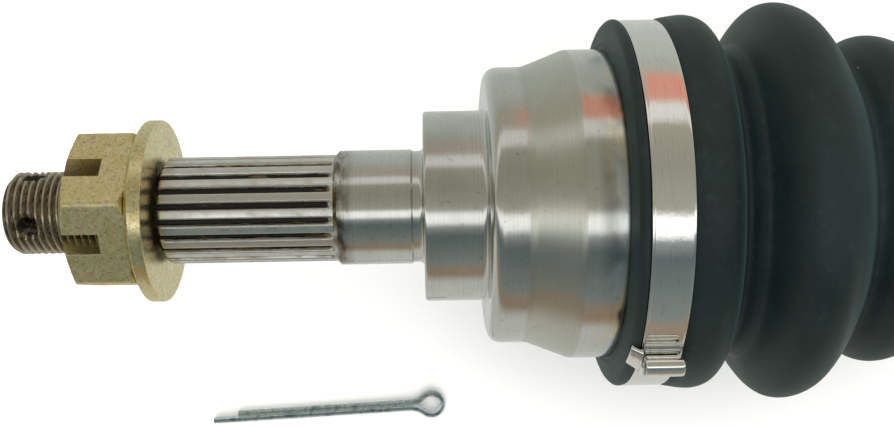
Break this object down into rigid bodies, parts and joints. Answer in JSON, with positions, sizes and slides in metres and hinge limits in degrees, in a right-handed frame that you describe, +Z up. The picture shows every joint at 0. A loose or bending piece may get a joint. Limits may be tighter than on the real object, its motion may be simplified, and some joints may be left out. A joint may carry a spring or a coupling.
{
  "type": "cv axle",
  "caption": "Half shaft with a fixed ball joint and splined, threaded hub stub at one end, a plunging ball joint and splined stub at the other, ribbed rubber boots, castle nut and cotter pin.",
  "frame": {"origin": "on the axle's centre line, in the middle of the ground hub journal next to the outboard shoulder", "axes": "+X along the axle from the hub end to the gearbox end, +Z up with the cotter pin lying below beside the stub, +Y by the right hand"},
  "size_m": [0.4879, 0.0989, 0.086],
  "materials": {
    "machined_steel": "turned, with fine marks and a little grease staining",
    "hardened_steel": "ground and oiled",
    "spring_steel": "oiled spring steel",
    "stainless_band": "polished strip with scratches",
    "yellow_zinc": "yellow passivated zinc",
    "bright_zinc": "bright zinc",
    "painted_bar": "satin black paint",
    "boot_rubber": "matt moulded rubber"
  },
  "bodies": {
    "outboard_housing": {"outboard_outer_race": "machined_steel", "outboard_boot": "boot_rubber", "outboard_large_band": "stainless_band", "outboard_band_buckle": "stainless_band"},
    "washer": {"hub_washer": "yellow_zinc"},
    "nut": {"castle_nut": "yellow_zinc"},
    "cotter_pin": {"cotter_pin": "bright_zinc"},
    "outboard_cage": {"outboard_cage": "hardened_steel", "outboard_ball_1": "hardened_steel", "outboard_ball_2": "hardened_steel", "outboard_ball_3": "hardened_steel", "outboard_ball_4": "hardened_steel", "outboard_ball_5": "hardened_steel", "outboard_ball_6": "hardened_steel"},
    "shaft": {"axle_shaft": "painted_bar", "outboard_inner_race": "hardened_steel", "inboard_inner_race": "hardened_steel", "outboard_retaining_ring": "spring_steel", "inboard_retaining_ring": "spring_steel", "outboard_small_clamp": "stainless_band", "inboard_small_clamp": "stainless_band"},
    "inboard_cage": {"inboard_cage": "hardened_steel", "inboard_ball_1": "hardened_steel", "inboard_ball_2": "hardened_steel", "inboard_ball_3": "hardened_steel", "inboard_ball_4": "hardened_steel", "inboard_ball_5": "hardened_steel", "inboard_ball_6": "hardened_steel"},
    "inboard_boot": {"inboard_boot": "boot_rubber"},
    "inboard_housing": {"inboard_outer_race": "machined_steel", "inboard_stopper_ring": "spring_steel", "inboard_stub_ring": "spring_steel", "inboard_large_band": "stainless_band", "inboard_band_buckle": "stainless_band"}
  },
  "joints": [
    {"name": "nut_travel", "type": "slide", "parent": "outboard_housing", "child": "washer", "axis": [-1, 0, 0], "range_m": [0, 0.033]},
    {"name": "nut_spin", "type": "hinge", "parent": "washer", "child": "nut", "pos_m": [-0.059, 0, 0], "axis": [-1, 0, 0], "range_deg": [0, 7920]},
    {"name": "cotter_lift", "type": "slide", "parent": "outboard_housing", "child": "cotter_pin", "axis": [0, 0, 1], "range_m": [0, 0.06]},
    {"name": "outboard_bend", "type": "hinge", "parent": "outboard_housing", "child": "shaft", "pos_m": [0.0504, 0, 0], "axis": [0, 0, 1], "range_deg": [-42, 42], "deforming": ["outboard_boot"]},
    {"name": "outboard_cage_turn", "type": "hinge", "parent": "outboard_housing", "child": "outboard_cage", "pos_m": [0.0504, 0, 0], "axis": [0, 0, 1], "range_deg": [-21, 21]},
    {"name": "inboard_tilt", "type": "hinge", "parent": "shaft", "child": "inboard_boot", "pos_m": [0.3119, 0, 0], "axis": [0, 1, 0], "range_deg": [-20, 20], "deforming": ["inboard_boot"]},
    {"name": "inboard_cage_turn", "type": "hinge", "parent": "shaft", "child": "inboard_cage", "pos_m": [0.3119, 0, 0], "axis": [0, 1, 0], "range_deg": [-10, 10]},
    {"name": "inboard_plunge", "type": "slide", "parent": "inboard_boot", "child": "inboard_housing", "axis": [1, 0, 0], "range_m": [-0.012, 0.012], "deforming": ["inboard_boot"]}
  ],
  "couplings": [
    {"joint": "nut_spin", "follows": "nut_travel", "rad_per_m": 4188.8},
    {"joint": "outboard_cage_turn", "follows": "outboard_bend", "ratio": 0.5},
    {"joint": "inboard_cage_turn", "follows": "inboard_tilt", "ratio": 0.5}
  ]
}
